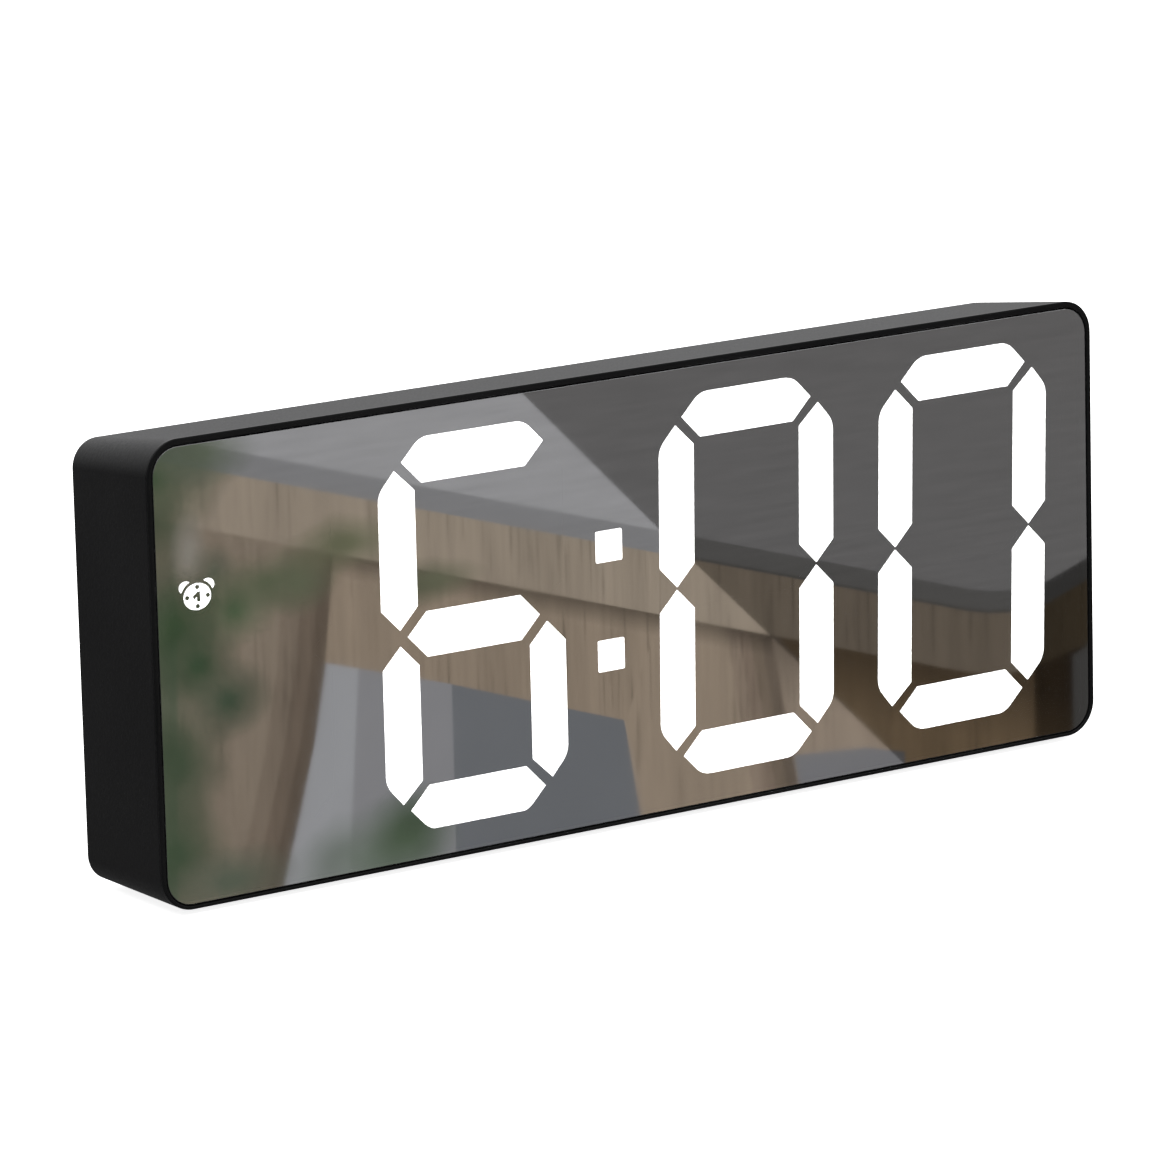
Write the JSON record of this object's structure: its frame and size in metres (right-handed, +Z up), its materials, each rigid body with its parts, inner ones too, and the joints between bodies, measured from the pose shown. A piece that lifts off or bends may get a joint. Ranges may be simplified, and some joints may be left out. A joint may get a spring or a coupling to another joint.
{
  "type": "alarm clock",
  "caption": "Slim desk alarm clock: drafted black case, half-mirror front over a seven-segment light display, rear hump with battery bay, keys and power inlet.",
  "frame": {"origin": "middle of the clock's bounding box seen from above, at the level the rubber feet stand on", "axes": "+X to the right seen from the front, +Y to the back, +Z up; the mirror front faces -Y"},
  "size_m": [0.163, 0.028, 0.0658],
  "materials": {
    "case_plastic": "fine-textured matte black ABS, satin on the front rim",
    "key_plastic": "smooth black ABS key caps",
    "half_mirror": "half-mirror coated acrylic, see-through where a segment is lit",
    "black_tape": "black double-sided foam adhesive",
    "printed_film": "polyester film printed black, with clear windows",
    "diffuser": "milky light-spreading sheet",
    "white_plastic": "white reflective plastic",
    "board_laminate": "green glass-fibre circuit board",
    "black_resin": "black moulding compound",
    "steel": "zinc-plated steel",
    "nickel": "nickel-plated spring steel",
    "cell_jacket": "printed jacket of an alkaline cell, without any wording",
    "rubber": "soft black rubber",
    "capacitor_sleeve": "shrunk sleeve",
    "red_insulation": "red wire insulation",
    "black_insulation": "black wire insulation"
  },
  "bodies": {
    "case": {"front_housing": "case_plastic", "rear_cover": "case_plastic", "mirror_lens": "half_mirror", "lens_tape": "black_tape", "segment_mask": "printed_film", "diffuser_sheet": "diffuser", "reflector_block": "white_plastic", "main_board": "board_laminate", "clock_chip": "black_resin", "driver_chip": "black_resin", "buzzer": "black_resin", "usb_tongue": "black_resin", "switch_body_mode": "black_resin", "switch_body_set": "black_resin", "switch_body_up": "black_resin", "switch_body_down": "black_resin", "switch_body_alarm": "black_resin", "timing_crystal": "steel", "usb_shell": "steel", "case_screw_1": "steel", "case_screw_2": "steel", "case_screw_3": "steel", "case_screw_4": "steel", "board_screw_1": "steel", "board_screw_2": "steel", "board_screw_3": "steel", "board_screw_4": "steel", "contact_negative": "nickel", "contact_positive": "nickel", "contact_bridge_left": "nickel", "contact_bridge_right": "nickel", "contact_spring_lower": "nickel", "contact_spring_middle": "nickel", "contact_spring_upper": "nickel", "battery_cell_lower": "cell_jacket", "battery_cell_middle": "cell_jacket", "battery_cell_upper": "cell_jacket", "foot_1": "rubber", "foot_2": "rubber", "foot_3": "rubber", "foot_4": "rubber", "smoothing_capacitor": "capacitor_sleeve", "battery_lead_red": "red_insulation", "battery_lead_black": "black_insulation"},
    "battery_door": {"battery_door": "case_plastic"},
    "key_mode": {"key_mode": "key_plastic", "switch_plunger_mode": "black_resin"},
    "key_set": {"key_set": "key_plastic", "switch_plunger_set": "black_resin"},
    "key_up": {"key_up": "key_plastic", "switch_plunger_up": "black_resin"},
    "key_down": {"key_down": "key_plastic", "switch_plunger_down": "black_resin"},
    "key_alarm": {"key_alarm": "key_plastic", "switch_plunger_alarm": "black_resin"}
  },
  "joints": [
    {"name": "battery_door_hinge", "type": "hinge", "parent": "case", "child": "battery_door", "pos_m": [0, 0.0132, 0.00845], "axis": [-1, 0, 0], "range_deg": [0, 90]},
    {"name": "key_mode_press", "type": "slide", "parent": "case", "child": "key_mode", "axis": [0, -1, 0], "range_m": [0, 0.0006], "stiffness_N_per_m": 1500, "springref_m": -0.0004},
    {"name": "key_set_press", "type": "slide", "parent": "case", "child": "key_set", "axis": [0, -1, 0], "range_m": [0, 0.0006], "stiffness_N_per_m": 1500, "springref_m": -0.0004},
    {"name": "key_up_press", "type": "slide", "parent": "case", "child": "key_up", "axis": [0, -1, 0], "range_m": [0, 0.0006], "stiffness_N_per_m": 1500, "springref_m": -0.0004},
    {"name": "key_down_press", "type": "slide", "parent": "case", "child": "key_down", "axis": [0, -1, 0], "range_m": [0, 0.0006], "stiffness_N_per_m": 1500, "springref_m": -0.0004},
    {"name": "key_alarm_press", "type": "slide", "parent": "case", "child": "key_alarm", "axis": [0, -1, 0], "range_m": [0, 0.0006], "stiffness_N_per_m": 1500, "springref_m": -0.0004}
  ]
}
